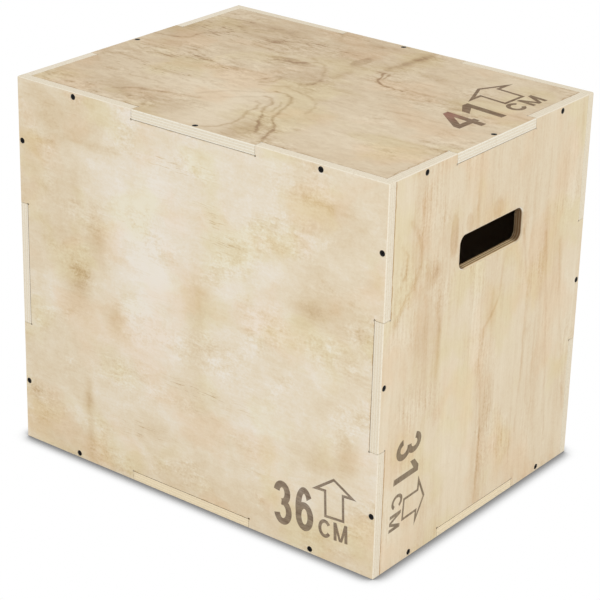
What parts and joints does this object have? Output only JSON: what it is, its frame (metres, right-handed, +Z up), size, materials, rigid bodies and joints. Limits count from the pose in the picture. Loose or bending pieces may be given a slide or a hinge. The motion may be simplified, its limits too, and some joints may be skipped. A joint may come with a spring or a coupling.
{
  "type": "plyo box",
  "caption": "Closed plywood box for jump training, with finger-jointed panels, countersunk screws and a hand hole in each end; turned onto other sides it gives other jump heights.",
  "frame": {"origin": "centre of the bottom face, on the floor", "axes": "+Z up, +X along the length towards the right end, -Y towards the front, the large face that carries the 36 mark"},
  "size_m": [0.41, 0.31, 0.36],
  "materials": {
    "plywood": "sanded bare plywood with a pale face veneer",
    "screw_steel": "black phosphated steel"
  },
  "bodies": {
    "root": {"back_bottom_screws": "screw_steel", "back_left_screws": "screw_steel", "back_panel": "plywood", "back_right_screws": "screw_steel", "back_top_screws": "screw_steel", "bottom_back_screw": "screw_steel", "bottom_front_screw": "screw_steel", "bottom_left_screw": "screw_steel", "bottom_panel": "plywood", "bottom_right_screw": "screw_steel", "front_bottom_screws": "screw_steel", "front_left_screws": "screw_steel", "front_panel": "plywood", "front_right_screws": "screw_steel", "front_top_screws": "screw_steel", "left_back_screw": "screw_steel", "left_bottom_screws": "screw_steel", "left_front_screw": "screw_steel", "left_panel": "plywood", "left_top_screws": "screw_steel", "right_back_screw": "screw_steel", "right_bottom_screws": "screw_steel", "right_front_screw": "screw_steel", "right_panel": "plywood", "right_top_screws": "screw_steel", "top_back_screw": "screw_steel", "top_front_screw": "screw_steel", "top_left_screw": "screw_steel", "top_panel": "plywood", "top_right_screw": "screw_steel"}
  },
  "joints": []
}
